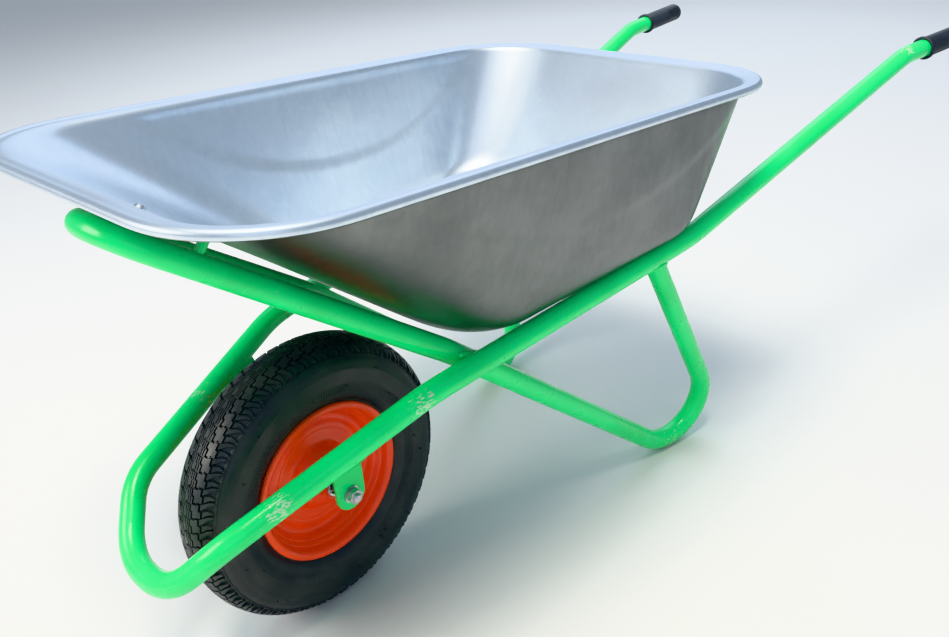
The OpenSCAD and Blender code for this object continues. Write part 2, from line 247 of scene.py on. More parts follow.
@dataclass(frozen=True)
class Galvanised(Finish):
    """Hot dip galvanised sheet, deep drawn: grey zinc in faint crystals, streaked down the walls."""

    light: str
    dark: str
    roughness: float

    def dress(self, tree: Tree, place: Socket) -> dict[str, object]:
        """Gives zinc crystals of 16 mm, upright streaks 9 mm apart, and clouds of oxide over 150 mm.

        Args:
            tree: Node tree of the material.
            place: Object coordinates in metres.

        Returns:
            Value or node for each input of the Principled shader.
        """
        warp = add_node(tree, "ShaderNodeTexNoise", {"Vector": place, "Scale": per(11.111)}).outputs["Color"]
        sway = {0: warp, 1: (0.012, 0.012, 0.012), 2: place}
        bent = add_node(tree, "ShaderNodeVectorMath", sway, operation="MULTIPLY_ADD")
        crystal = add_node(tree, "ShaderNodeTexVoronoi", {"Vector": bent, "Scale": per(16.129)})
        facet = add_node(tree, "ShaderNodeSeparateColor", {"Color": crystal.outputs["Color"]})
        drawn = add_node(tree, "ShaderNodeMapping", {"Vector": place, "Scale": (1.0, 1.0, 0.06)})
        streak = add_node(tree, "ShaderNodeTexNoise", {"Vector": drawn, "Scale": per(9.0), "Detail": 4.0})
        cloud = add_node(tree, "ShaderNodeTexNoise", {"Vector": place, "Scale": per(150.0), "Detail": 5.0})
        tone = add_node(tree, "ShaderNodeMath", {0: facet, 1: 0.1, 2: cloud}, operation="MULTIPLY_ADD")
        tone = add_node(tree, "ShaderNodeMath", {0: streak, 1: 0.3, 2: tone}, operation="MULTIPLY_ADD")
        span = {"Value": tone, "From Min": 0.35, "From Max": 1.05}
        share = add_node(tree, "ShaderNodeMapRange", span, interpolation_type="SMOOTHSTEP")
        shades = {0: share, 6: linear(self.light), 7: linear(self.dark)}
        span |= {"To Min": self.roughness, "To Max": self.roughness + 0.12}
        return {
            "Base Color": add_node(tree, "ShaderNodeMix", shades, data_type="RGBA").outputs[2],
            "Roughness": add_node(tree, "ShaderNodeMapRange", span, interpolation_type="SMOOTHSTEP"),
            "Normal": add_node(tree, "ShaderNodeBump", {"Height": streak, "Distance": 0.06 / 1000}),
            "Metallic": 1.0,
        }


@dataclass(frozen=True)
class PlatedSteel(Finish):
    """Zinc plated or bright steel, turned and tumbled: soft highlights and fine pits."""

    light: str
    dark: str
    roughness: float

    def dress(self, tree: Tree, place: Socket) -> dict[str, object]:
        """Clouds the plating over 7 mm and roughens it with pits of 1.5 mm.

        Args:
            tree: Node tree of the material.
            place: Object coordinates in metres.

        Returns:
            Value or node for each input of the Principled shader.
        """
        cloud = add_node(tree, "ShaderNodeTexNoise", {"Vector": place, "Scale": per(7.0), "Detail": 6.0})
        span = {"Value": cloud, "From Min": 0.3, "From Max": 0.7}
        share = add_node(tree, "ShaderNodeMapRange", span, interpolation_type="SMOOTHSTEP")
        shades = {0: share, 6: linear(self.light), 7: linear(self.dark)}
        span |= {"To Min": self.roughness, "To Max": self.roughness + 0.18}
        pits = add_node(tree, "ShaderNodeTexNoise", {"Vector": place, "Scale": per(1.5)})
        return {
            "Base Color": add_node(tree, "ShaderNodeMix", shades, data_type="RGBA").outputs[2],
            "Roughness": add_node(tree, "ShaderNodeMapRange", span, interpolation_type="SMOOTHSTEP"),
            "Normal": add_node(tree, "ShaderNodeBump", {"Height": pits, "Distance": 0.03 / 1000}),
            "Metallic": 1.0,
        }


@dataclass(frozen=True)
class Rubber(Finish):
    """Moulded rubber: matt and dark, greyed by dust, with a fine grain from the mould."""

    colour: str
    dust: str
    grain: float
    dusty: float
    roughness: float = 0.6

    def dress(self, tree: Tree, place: Socket) -> dict[str, object]:
        """Lays dust in clouds of 45 mm and specks of 3 mm, and a grain of the given size.

        Args:
            tree: Node tree of the material.
            place: Object coordinates in metres.

        Returns:
            Value or node for each input of the Principled shader.
        """
        smooth_step = {"interpolation_type": "SMOOTHSTEP"}
        specks = add_node(tree, "ShaderNodeTexNoise", {"Vector": place, "Scale": per(3.0), "Detail": 3.0})
        speck = add_node(
            tree,
            "ShaderNodeMapRange",
            {"Value": specks, "From Min": 0.66, "From Max": 0.72, "To Max": 0.35},
            **smooth_step,
        )
        cloud = add_node(tree, "ShaderNodeTexNoise", {"Vector": place, "Scale": per(45.0), "Detail": 8.0})
        share = add_node(
            tree,
            "ShaderNodeMapRange",
            {"Value": cloud, "From Min": 0.4, "From Max": 0.75, "To Max": self.dusty},
            **smooth_step,
        )
        share = add_node(tree, "ShaderNodeMath", {0: share, 1: speck}, operation="ADD")
        shades = {0: share, 6: linear(self.colour), 7: linear(self.dust)}
        rough = add_node(
            tree,
            "ShaderNodeMapRange",
            {
                "Value": cloud,
                "From Min": 0.3,
                "From Max": 0.7,
                "To Min": self.roughness - 0.1,
                "To Max": self.roughness + 0.15,
            },
            **smooth_step,
        )
        grain = {"Vector": place, "Scale": per(self.grain), "Detail": 3.0}
        grain = add_node(tree, "ShaderNodeTexNoise", grain)
        return {
            "Base Color": add_node(tree, "ShaderNodeMix", shades, data_type="RGBA").outputs[2],
            "Roughness": rough,
            "Normal": add_node(tree, "ShaderNodeBump", {"Height": grain, "Distance": 0.12 / 1000}),
            "IOR": 1.52,
        }


# Worn places of the frame: X, Y, Z and radius, where a hand, the ground or a shovel rubs
FRAME_WEAR = (
    (508.0, 190.0, 352.0, 42.0),
    (703.0, 136.0, 290.0, 40.0),
    (640.0, -136.0, 310.0, 34.0),
    (-624.0, 306.0, 556.0, 40.0),
    (-5.0, 194.0, 2.0, 60.0),
    (-5.0, -194.0, 2.0, 60.0),
)
# Sprayed enamels, the frame's a strong cold green and the wheel's an orange red: hard highlights
GREEN = Enamel("green_gloss_enamel", "frame_paint", "#04e67a", "#00d86e", "#b4dcb2", FRAME_WEAR)
ORANGE = Enamel("orange_gloss_enamel", "rim_paint", "#fa4e1e", "#ea4218", "#8d4a38", roughness=0.34)
# Dipped sheet in a lit and a shaded copy of one zinc: the tray's inside is painted light, pale and bluish as if
# under sky, and its outside is painted shade, darker
ZINC_LIT_INSIDE = Galvanised("galvanised_sheet_painted_light", "galvanised", "#dae3eb", "#bccad6", 0.3)
ZINC_SHADED_OUTSIDE = Galvanised("galvanised_sheet_painted_shade", "galvanised", "#797c7c", "#676b6b", 0.27)
# Electroplated hardware with a soft sheen, its weathered bolts, and ground steel in the bearings
ZINC = PlatedSteel("zinc_plated_steel", "zinc_steel", "#d3d5d6", "#a9adb0", 0.3)
DULL_ZINC = PlatedSteel("weathered_zinc_plate", "zinc_steel", "#98a1a9", "#727a82", 0.5)
BEARING = PlatedSteel("ground_bearing_steel", "bearing_steel", "#d9dadb", "#b9bcc0", 0.16)
# Moulded grips and tyre, dusty from use, and the smoother tube and cap that stay clean
GRIP = Rubber("moulded_grip_rubber", "grip_rubber", "#20262f", "#4a535e", 2.0, 0.35, 0.5)
TYRE = Rubber("tyre_tread_rubber", "tyre_rubber", "#2b3032", "#5b5d57", 2.5, 0.35, 0.42)
TUBE = Rubber("butyl_tube_rubber", "tube_rubber", "#141516", "#3a3c3d", 2.0, 0.2)
CAP = Rubber("moulded_cap_plastic", "valve_plastic", "#121314", "#3c3d3f", 1.5, 0.15, 0.42)


def surface(
    name: str,
    rows: Array,
    closed: bool = True,
    ring: bool = False,
    caps: bool = False,
    sharp: float = 38.0,
) -> bpy.types.Object:
    """Makes a mesh from a grid of points, facing outwards.

    Point (i, j) is joined to (i, j + 1) and (i + 1, j). The enclosed volume, a sum of the
    tetrahedra under each face, says whether the faces have to be turned over.

    Args:
        name: Name of the piece.
        rows: Points in millimetres, shaped rows x points x 3.
        closed: Joins the last point of each row to its first.
        ring: Joins the last row to the first.
        caps: Closes the first and the last row with a fan round its middle.
        sharp: Angle in degrees past which an edge stays sharp.

    Returns:
        The object, at the origin.
    """
    count, across = rows.shape[:2]
    i = np.arange(count if ring else count - 1)[:, None]
    j = np.arange(across if closed else across - 1)[None, :]
    after, beside = (i + 1) % count, (j + 1) % across
    quads = np.stack(
        [i * across + j, i * across + beside, after * across + beside, after * across + j], -1
    ).reshape(-1, 4)
    points = rows.reshape(-1, 3)
    faces = quads.tolist()
    if caps:
        near, far = len(points), len(points) + 1
        points = np.vstack([points, rows[0].mean(0), rows[-1].mean(0)])
        a = np.arange(across)
        b = (a + 1) % across
        last = (count - 1) * across
        faces += np.stack([b, a, np.full(across, near)], -1).tolist()
        faces += np.stack([last + a, last + b, np.full(across, far)], -1).tolist()
    middle = points.mean(0)
    p, q, r, s = (points[quads[:, k]] - middle for k in range(4))
    volume = np.einsum("ij,ij->i", p, np.cross(q, r) + np.cross(r, s)).sum()
    if volume < 0:
        faces = [face[::-1] for face in faces]
    return solid(name, points, faces, sharp)


def solid(name: str, points: Array, faces: list, sharp: float = 38.0) -> bpy.types.Object:
    """Puts points and faces into a smooth mesh with sharp edges.

    Args:
        name: Name of the piece.
        points: Points in millimetres.
        faces: Lists of point numbers, anticlockwise from outside.
        sharp: Angle in degrees past which an edge stays sharp.

    Returns:
        The object, at the origin.
    """
    mesh = bpy.data.meshes.new(name)
    mesh.from_pydata((points / 1000).tolist(), [], faces)
    mesh.shade_smooth()
    mesh.set_sharp_from_angle(angle=math.radians(sharp))
    piece = bpy.data.objects.new(name, mesh)
    bpy.context.scene.collection.objects.link(piece)
    return piece


def place(piece: bpy.types.Object, body: Body, finish: Finish, *nodes: str) -> None:
    """Dresses a piece, ties it to its body, and hides the CAD nodes that it stands for.

    Args:
        piece: New piece.
        body: Body that it rides on.
        finish: Finish of its whole surface.
        *nodes: CAD nodes that it replaces.
    """
    piece.data.materials.append(finish.material())
    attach(piece, body.value)
    if nodes:
        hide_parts(*nodes)
    log.info("%s: %d faces, rides on %s", piece.name, len(piece.data.polygons), body.value)


def dress(finish: Finish, *nodes: str) -> None:
    """Gives CAD nodes a finish.

    Args:
        finish: Finish for every material slot of the nodes.
        *nodes: Names of the nodes.
    """
    for name in nodes:
        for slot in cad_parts[name].material_slots:
            slot.material = finish.material()
        log.info("%s: CAD node in %s", name, finish.name)


def unit(vectors: Array) -> Array:
    """Returns vectors scaled to a length of 1 along their last axis."""
    return vectors / np.linalg.norm(vectors, axis=-1, keepdims=True)


def smooth(value: Array) -> Array:
    """Returns 3t^2 - 2t^3 of a value kept between 0 and 1."""
    t = np.clip(value, 0, 1)
    return t * t * (3 - 2 * t)


def soften(line: Array, times: int = 3) -> Array:
    """Rounds the corners of an open line by cutting each at a quarter of its two sides.

    Args:
        line: Points of the line.
        times: Number of rounds of cutting.

    Returns:
        More points, with the same two ends.
    """
    for _ in range(times):
        near, far = line[:-1] * 0.75 + line[1:] * 0.25, line[:-1] * 0.25 + line[1:] * 0.75
        line = np.vstack([line[:1], np.stack([near, far], 1).reshape(-1, line.shape[1])[1:-1], line[-1:]])
    return line


def lathe(profile: Array, centre: Array, steps: int) -> Array:
    """Turns a profile of radius and distance along Y round an axle at a centre.

    The point at angle a is (r cos a, y, r sin a) from the centre.

    Args:
        profile: Radius and distance, one row for each ring.
        centre: Centre of the axle.
        steps: Points round each ring.

    Returns:
        Grid of points for `surface`.
    """
    a = np.linspace(0, 2 * np.pi, steps, endpoint=False)[None, :]
    r, y = profile[:, :1], profile[:, 1:]
    return centre + np.stack([r * np.cos(a), y + 0 * a, r * np.sin(a)], -1)


def sweep(path: Array, radius: Array, steps: int, closed: bool = False) -> Array:
    """Carries a circle along a path.

    The circle lies across the path's direction d, on the axes d x Z and their cross product,
    so a path may not run straight up.

    Args:
        path: Points along the path.
        radius: Radius at each point.
        steps: Points round each circle.
        closed: The path's end meets its start.

    Returns:
        Grid of points for `surface`.
    """
    if closed:
        along = np.roll(path, -1, 0) - np.roll(path, 1, 0)
    else:
        along = np.gradient(path, axis=0)
    along = unit(along)
    side = unit(np.cross(along, [0.05, 0.02, 1.0]))
    up = np.cross(side, along)
    a = np.linspace(0, 2 * np.pi, steps, endpoint=False)[None, :, None]
    return path[:, None] + radius[:, None, None] * (side[:, None] * np.cos(a) + up[:, None] * np.sin(a))


@dataclass
class Tray:
    """Deep drawn tray: rings from the floor's middle up the walls to the rolled edge and back."""

    sheet: float = 1.5
    floor_x: Pair = (395.0, -45.0)
    floor_half: Pair = (206.0, 250.0)
    floor_r: Pair = (95.0, 85.0)
    wall_x: Pair = (788.0, -176.0)
    wall_half: Pair = (290.0, 286.0)
    wall_r: Pair = (124.0, 122.0)
    floor_line: Pair = (409.1, -0.08367)
    rim_line: Pair = (633.38, 0.091716)
    flange: float = 25.0
    bead: float = 6.5
    floor_edge: float = 30.0
    panel_x: float = 240.0
    panel_half: float = 365.0
    panel_depth: float = 155.0
    press: float = 2.6
    press_step: float = 26.0
    dent: float = 0.5
    arc_steps: int = 25
    side_steps: int = 84
    end_steps: int = 46

    def outline(self, x: Pair, half: Pair, r: Pair) -> tuple[Array, Array]:
        """Works out a rounded outline and the direction that widens it.

        Corner arcs of a quarter turn alternate with straight runs between their ends, and the
        whole loop is then averaged with its neighbours, so that no arc starts abruptly.

        Args:
            x: Front and rear edge.
            half: Half width at the front and at the rear.
            r: Corner radius at the front and at the rear.

        Returns:
            Points and unit directions, both shaped n x 2.
        """
        corners = (
            (x[0] - r[0], half[0] - r[0], r[0], 0),
            (x[1] + r[1], half[1] - r[1], r[1], 90),
            (x[1] + r[1], r[1] - half[1], r[1], 180),
            (x[0] - r[0], r[0] - half[0], r[0], 270),
        )
        arcs, ways = [], []
        for cx, cy, radius, start in corners:
            a = np.radians(start + np.linspace(0, 90, self.arc_steps))
            way = np.stack([np.cos(a), np.sin(a)], -1)
            arcs.append(np.array([cx, cy]) + radius * way)
            ways.append(way)
        points, turns = [], []
        for k, steps in enumerate((self.side_steps, self.end_steps) * 2):
            t = np.linspace(0, 1, steps, endpoint=False)[1:, None]
            after = arcs[(k + 1) % 4][0]
            points += [arcs[k], arcs[k][-1] * (1 - t) + after * t]
            turns += [ways[k], np.repeat(ways[k][-1:], len(t), 0)]
        loop, turn = np.vstack(points), np.vstack(turns)
        for _ in range(10):
            loop = (np.roll(loop, 1, 0) + 2 * loop + np.roll(loop, -1, 0)) / 4
            turn = unit(np.roll(turn, 1, 0) + 2 * turn + np.roll(turn, -1, 0))
        return loop, turn

    def ladder(self) -> Array:
        """Lists the rings from the floor's flat part to the end of the rolled bead.

        The foot and the bend at the rim are quadratic curves, and the bead is an arc.

        Returns:
            Columns: share of the way up the wall, widening and rise, in millimetres.
        """
        t = np.linspace(0, 1, 10)[:, None]
        foot = (1 - t) ** 2 * [0, -self.floor_edge, self.sheet] + 2 * t * (1 - t) * [0, 0, self.sheet]
        foot = foot + t * t * [0.14, 0, self.sheet]
        s = np.linspace(0.14, 0.96, 58)[1:-1, None]
        wall = np.hstack([s, 0 * s, self.sheet * (1 - s)])
        t = np.linspace(0, 1, 6)[:, None]
        top = (1 - t) ** 2 * [0.96, 0, 0] + 2 * t * (1 - t) * [1, 0, -2.0] + t * t * [1, 8, -2.0]
        a = np.radians(np.linspace(136, -168, 22))[:, None]
        middle = self.flange - self.bead
        roll = np.hstack([1 + 0 * a, middle + self.bead * np.cos(a), self.bead * (np.sin(a) - 1)])
        return np.vstack([foot, wall, top, roll])

    def pressed(self, grid: Array, turn: Array) -> Array:
        """Presses a panel with a curved lower edge into both side walls.

        The edge hangs below the rim by depth (1 - t^2), with t the distance from the panel's
        middle over its half length. The sheet steps outwards over press_step above that edge,
        and shallow dents lie below the rim.

        Args:
            grid: Points of the walls.
            turn: Outward directions of the outline.

        Returns:
            Points moved outwards.
        """
        x, z = grid[..., 0], grid[..., 2]
        rim = self.rim_line[0] + self.rim_line[1] * x
        t = (x - self.panel_x) / self.panel_half
        edge = rim - self.panel_depth * np.maximum(1 - np.abs(t) ** 2.2, 0)
        amount = smooth((z - edge) / self.press_step) * smooth((rim - 9 - z) / 16)
        amount = amount * np.abs(turn[None, :, 1]) ** 12 * self.press
        ripple = self.dent * np.sin(x / 47 + z / 90) * np.sin(z / 61 + grid[..., 1] / 83)
        ripple = ripple * smooth((rim - 20 - z) / 60)
        out = np.concatenate([turn, np.zeros((len(turn), 1))], 1)[None]
        return grid + out * (amount + ripple)[..., None]

    def build(self) -> None:
        """Builds the tray as one closed sheet.

        The inner face is moved back by the sheet's thickness along its normals, which are the
        cross product of the two grid directions, to give the outer face.
        """
        low, turn = self.outline(self.floor_x, self.floor_half, self.floor_r)
        high, _ = self.outline(self.wall_x, self.wall_half, self.wall_r)
        share, out, rise = (c[:, None, None] for c in self.ladder().T)
        below, above = low + out * turn, high + out * turn
        flat = below * (1 - share) + above * share
        z_low = self.floor_line[0] + self.floor_line[1] * below[..., :1]
        z_high = self.rim_line[0] + self.rim_line[1] * above[..., :1]
        walls = np.concatenate([flat, z_low * (1 - share) + z_high * share + rise], -1)
        walls = self.pressed(walls, turn)
        middle = walls[0].mean(0)
        grow = np.linspace(0.1, 1, 9)[:-1, None, None]
        inside = np.concatenate([middle + grow * (walls[0] - middle), walls])
        round_way = np.roll(inside, -1, 1) - np.roll(inside, 1, 1)
        up_way = np.gradient(inside, axis=0)
        normal = unit(np.cross(round_way, up_way))
        back = inside + normal * self.sheet
        rows = np.concatenate([inside, back[::-1]])
        piece = surface("galvanised_tray", rows, caps=True, sharp=50)
        place(piece, Body.FRAME, ZINC_LIT_INSIDE, "tray")
        # The second material is the darker copy of the zinc: painted shade
        piece.data.materials.append(ZINC_SHADED_OUTSIDE.material())
        across = rows.shape[1]
        layer = np.zeros(len(piece.data.polygons), np.int32)
        # Painted shade: the outer half of the rolled bead, the whole outer face and the floor's outer cap take
        # the darker copy
        layer[(len(inside) - 10) * across : (len(rows) - 1) * across] = 1
        layer[-across:] = 1
        piece.data.polygons.foreach_set("material_index", layer)


@dataclass
class Tyre:
    """Pneumatic tyre: a superellipse section with a moulded tread, ribs and vent spews."""

    outer: float = 200.0
    width: float = 94.0
    rim: float = 111.5
    seat: float = 103.8
    bead: float = 32.5
    power: float = 0.84
    pitches: int = 62
    depth: float = 3.4
    whiskers: int = 44

    def outline(self) -> tuple[Array, Array, Array]:
        """Lists the outer section's line from the right bead over the crown to the left one.

        The section is middle + half (|cos a|^p, |sin a|^p) with the signs kept. Its length is
        summed over short chords.

        Returns:
            Radius with distance along the axle, the outward normal, and the length from the crown.
        """
        middle = (self.outer + self.rim - 8) / 2
        a = np.radians(np.linspace(-136, 136, 4001))
        line = np.stack(
            [
                middle + (self.outer - middle) * np.sign(np.cos(a)) * np.abs(np.cos(a)) ** self.power,
                self.width / 2 * np.sign(np.sin(a)) * np.abs(np.sin(a)) ** self.power,
            ],
            -1,
        )
        length = np.concatenate([[0], np.cumsum(np.linalg.norm(np.diff(line, axis=0), axis=1))])
        length -= length[2000]
        way = np.gradient(line, axis=0)
        return line, unit(np.stack([way[:, 1], -way[:, 0]], -1)), length

    def section(self, at: Array) -> tuple[Array, Array]:
        """Finds points of the outer section from their distance along it.

        Args:
            at: Distances from the crown, positive to the left, in any shape.

        Returns:
            Radius with distance along the axle, and the outward normal of the section.
        """
        line, normal, length = self.outline()
        found = [np.interp(at, length, column) for column in (*line.T, *normal.T)]
        return np.stack(found[:2], -1), unit(np.stack(found[2:], -1))

    def tread_rows(self) -> Array:
        """Lists one side's rows from the crown to the bead.

        Returns:
            Columns: distance from the crown, depth of the row, zigzag, sideways shift, depth of the
            cross grooves, depth and half width of the lugs' notches, depth of the fine ribs.
        """
        deep = self.depth
        tread = [
            (0.0, 0, 1.2, 0, 1.2, 0, 0, 0), (2.4, 0, 1.2, 0, 1.2, 0, 0, 0), (2.8, 1.5, 1.2, 0, 1.5, 0, 0, 0),
            (3.6, 1.5, 1.2, 0, 1.5, 0, 0, 0), (4.0, 0, 1.2, 0, 1.2, 0, 0, 0), (6.4, 0, 1.2, 0, 1.2, 0, 0, 0),
            (6.8, 1.5, 1.2, 0, 1.5, 0, 0, 0), (7.6, 1.5, 1.2, 0, 1.5, 0, 0, 0),
            (8.0, 0, 1.2, 0, 1.2, 0, 0, 0),
            (10.4, 0, 1.7, 0, 1.2, 0, 0, 0), (10.9, deep, 1.7, 0, deep, 0, 0, 0),
            (12.3, deep, 1.7, 2, deep, 0, 0, 0), (12.8, 0, 1.7, 2, deep, 0, 0, 0),
            (16.5, 0, 1.0, 2, deep, 0, 0, 0), (18.6, 0, 0.5, 2, deep, 0, 0, 0),
            (19.4, 0, 0.5, 4, deep, 0, 0, 0), (22.0, 0, 1.0, 4, deep, 0, 0, 0),
            (24.9, 0, 1.7, 4, deep, 0, 0, 0), (25.4, deep, 1.7, 4, deep, 0, 0, 0),
            (26.8, deep, 1.7, 6, deep, 0, 0, 0),
            (27.3, 0, 1.7, 6, deep, 0.5, 0.3, 0), (31.0, 0, 0.8, 8, deep, deep, 0.9, 0),
            (35.0, 0, 0.2, 11, deep, deep, 2.2, 0), (39.0, 0, 0, 12, deep, deep, 3.6, 0),
            (42.5, 0.2, 0, 12, deep, deep, 4.6, 0), (43.6, 2.0, 0, 12, 2.4, 2.4, 4.6, 0),
            (45.4, 2.0, 0, 12, 2.0, 2.0, 3, 0), (45.9, 1.0, 0, 12, 1.0, 1.0, 3, 0),
            (46.7, 1.0, 0, 12, 1.0, 1.0, 3, 0),
            (47.2, 1.9, 0, 12, 1.9, 1.9, 3, 0), (50.0, 1.6, 0, 12, 1.6, 1.6, 3, 0),
        ]
        rest = np.linspace(54, self.outline()[2][-1], 22)
        radius = self.section(rest)[0][:, 0]
        line = np.exp(-(((radius - 163) / 1.4) ** 2))
        sink = 0.9 - 0.7 * line
        ribs = 0.55 * smooth((148 - radius) / 3) * smooth((radius - 124) / 3)
        wall = np.stack([rest, sink, 0 * rest, 12 + 0 * rest, sink, sink, 3 + 0 * rest, ribs], -1)
        return np.vstack([np.array(tread, float), wall])

    def build(self, centre: Array) -> None:
        """Builds the tyre and its vent spews.

        Row k lies at its distance from the crown plus a square step, one way over half of each
        pitch and back over the other, so grooves follow the grid's own lines. The depth at a
        point is that of its row, or of the cross groove or notch where the column runs in one.

        Args:
            centre: Centre of the axle.
        """
        half = self.tread_rows()
        rows = np.vstack([half[:0:-1] * [-1, 1, 1, 1, 1, 1, 1, 1], half])
        at, sink, zig, shift, cross_depth, notch_depth, notch_half, ribs = rows.T[:, :, None]
        pitch = 2 * np.pi * self.outer / self.pitches
        groove = np.array([1, 1, 0, 0, 0, 0, 0, 0, 0, 0.0])
        notch = np.array([0, 0, 0, 0, 0, 1, 1, 0, 0, 0.0])
        step = np.array([-1, 1, 1, 1, 1, 1, -1, -1, -1, -1.0])
        lip = np.where(notch_half > 0, notch_half, 0.6)
        flat = np.linspace(0, 1, 11)[:-1][None, :] * pitch
        local = np.concatenate(
            [
                np.broadcast_to([[-1.1, 1.1, 1.6, 4.0]], (len(rows), 4)),
                pitch / 2 + lip * [[-1.25, -0.9, 0.9, 1.25]] + [[-0.3, 0, 0, 0.3]],
                np.broadcast_to([[pitch - 4.0, pitch - 1.6]], (len(rows), 2)),
            ],
            1,
        )
        even = smooth((np.abs(at) - 47) / 12)
        local = local * (1 - even) + (flat - 1.1) * even
        sides = np.sign(at + 1e-9)
        start = np.arange(self.pitches)[None, :, None] * pitch
        slide = shift * 0.9 + np.where(sides > 0, pitch / 2, 0)
        u = (local[:, None, :] + start + slide[:, :, None]).reshape(len(rows), -1)
        depth = sink + np.maximum(cross_depth - sink, 0) * groove
        depth = depth + np.maximum(notch_depth - sink, 0) * notch
        depth = depth + ribs * (np.arange(10)[None, :] % 2)
        depth = np.tile(depth, (1, self.pitches))
        wave = np.tile(step, self.pitches)[None]
        point, normal = self.section(at + zig * wave * np.where(np.abs(at) < 1e-6, 0, 1))
        flesh = point - normal * depth[..., None]
        angle = u / self.outer
        r, y = flesh[..., 0], flesh[..., 1]
        outside = centre + np.stack([r * np.cos(angle), y, r * np.sin(angle)], -1)
        inner = np.array(
            [
                (112.5, self.bead + 1), (self.seat, self.bead), (self.seat, self.bead - 12), (127.0, 33.0),
                (152.0, 38.0), (178.0, 31.0), (190.0, 0.0), (178.0, -31.0), (152.0, -38.0), (127.0, -33.0),
                (self.seat, 12 - self.bead), (self.seat, -self.bead), (112.5, -self.bead - 1),
            ]
        )
        turn = angle[-1]
        r, y = inner[:, :1], inner[:, 1:]
        inside = centre + np.stack([r * np.cos(turn), y + 0 * turn, r * np.sin(turn)], -1)
        rows_all = np.concatenate([outside, inside])
        piece = surface("tyre_with_tread", rows_all, ring=True, sharp=32)
        place(piece, Body.WHEEL, TYRE, "tyre")
        self.spews(centre)

    def spews(self, centre: Array) -> None:
        """Scatters short rubber whiskers over both sidewalls, each a thin cone along the normal.

        Args:
            centre: Centre of the axle.
        """
        chance = np.random.default_rng(7)
        count = self.whiskers
        at = chance.uniform(56, 92, count) * np.where(np.arange(count) % 2, 1, -1)
        angle = np.arange(count) * 2.399963 + chance.uniform(-0.2, 0.2, count)
        point, normal = self.section(at)
        length = chance.uniform(2.5, 5.0, count)
        lean = chance.uniform(-0.5, 0.5, count)
        a = np.linspace(0, 2 * np.pi, 6, endpoint=False)
        radial = np.stack([np.cos(angle), 0 * angle, np.sin(angle)], -1)
        round_way = np.stack([-np.sin(angle), 0 * angle, np.cos(angle)], -1)
        out = radial * normal[:, :1] + np.array([0, 1.0, 0]) * normal[:, 1:]
        across = np.cross(out, round_way)
        foot = centre + radial * point[:, :1] + np.array([0, 1.0, 0]) * point[:, 1:] - out * 1.6
        share = np.array([0.0, 0.5, 1.0])[None, :, None]
        radius = np.array([0.75, 0.6, 0.3])[None, :, None, None]
        spine = foot[:, None] + share * (1.6 + length)[:, None, None] * (
            out[:, None] + share * (lean[:, None] * round_way)[:, None]
        )
        disc = np.cos(a)[:, None] * round_way[:, None] + np.sin(a)[:, None] * across[:, None]
        points = spine[:, :, None] + radius * disc[:, None]
        j = np.arange(6)
        beside = (j + 1) % 6
        wall = np.stack([j, beside, beside + 6, j + 6], -1)
        start = 18 * np.arange(count)[:, None, None]
        quads = (np.vstack([wall, wall + 6])[None] + start).reshape(-1, 4).tolist()
        ends = (np.stack([j[::-1], j + 12])[None] + start).reshape(-1, 6).tolist()
        piece = solid("vent_spews", points.reshape(-1, 3), quads + ends)
        place(piece, Body.WHEEL, TYRE)


@dataclass
class Rim:
    """Pressed steel rim in two halves, with a rolled flange, a grooved cone and a raised hub."""

    sheet: float = 2.0
    steps: int = 180
    face: tuple[Pair, ...] = (
        (111.2, 32.6), (111.4, 36.0), (109.0, 36.4), (105.6, 36.0), (103.4, 33.0), (102.2, 28.0), (100.6, 24.0),
        (99.6, 23.6), (97.6, 20.5), (95.8, 16.8), (94.8, 16.4), (92.8, 13.4), (91.0, 9.6), (88.6, 5.2),
        (84.0, 3.4),
        (78.0, 4.2), (73.0, 7.2), (68.0, 7.6), (66.5, 6.9), (65.0, 7.6), (58.0, 7.8), (50.5, 8.0), (46.5, 10.0),
        (43.4, 16.0), (39.5, 22.6), (35.0, 26.4), (29.5, 28.6), (26.0, 31.0), (20.4, 32.0),
    )

    def build(self, centre: Array) -> None:
        """Builds both halves as closed rings.

        The visible face is a softened line of radius and distance. The back is that line moved
        by the sheet's thickness along its normals, and the loop of both is turned round the axle.

        Args:
            centre: Centre of the axle.
        """
        line = soften(np.array(self.face), 2)
        way = unit(np.gradient(line, axis=0))
        back = line + np.stack([-way[:, 1], way[:, 0]], -1) * -self.sheet
        back[:, 1] = np.maximum(back[:, 1], 0.4)
        loop = np.vstack([line, back[::-1]])
        for side in Side:
            rows = lathe(loop * side.flip[:2], centre, self.steps)
            piece = surface(f"pressed_rim_{side.hand}", rows, ring=True, sharp=45)
            place(piece, Body.WHEEL, ORANGE, f"rim_{side.hand}")


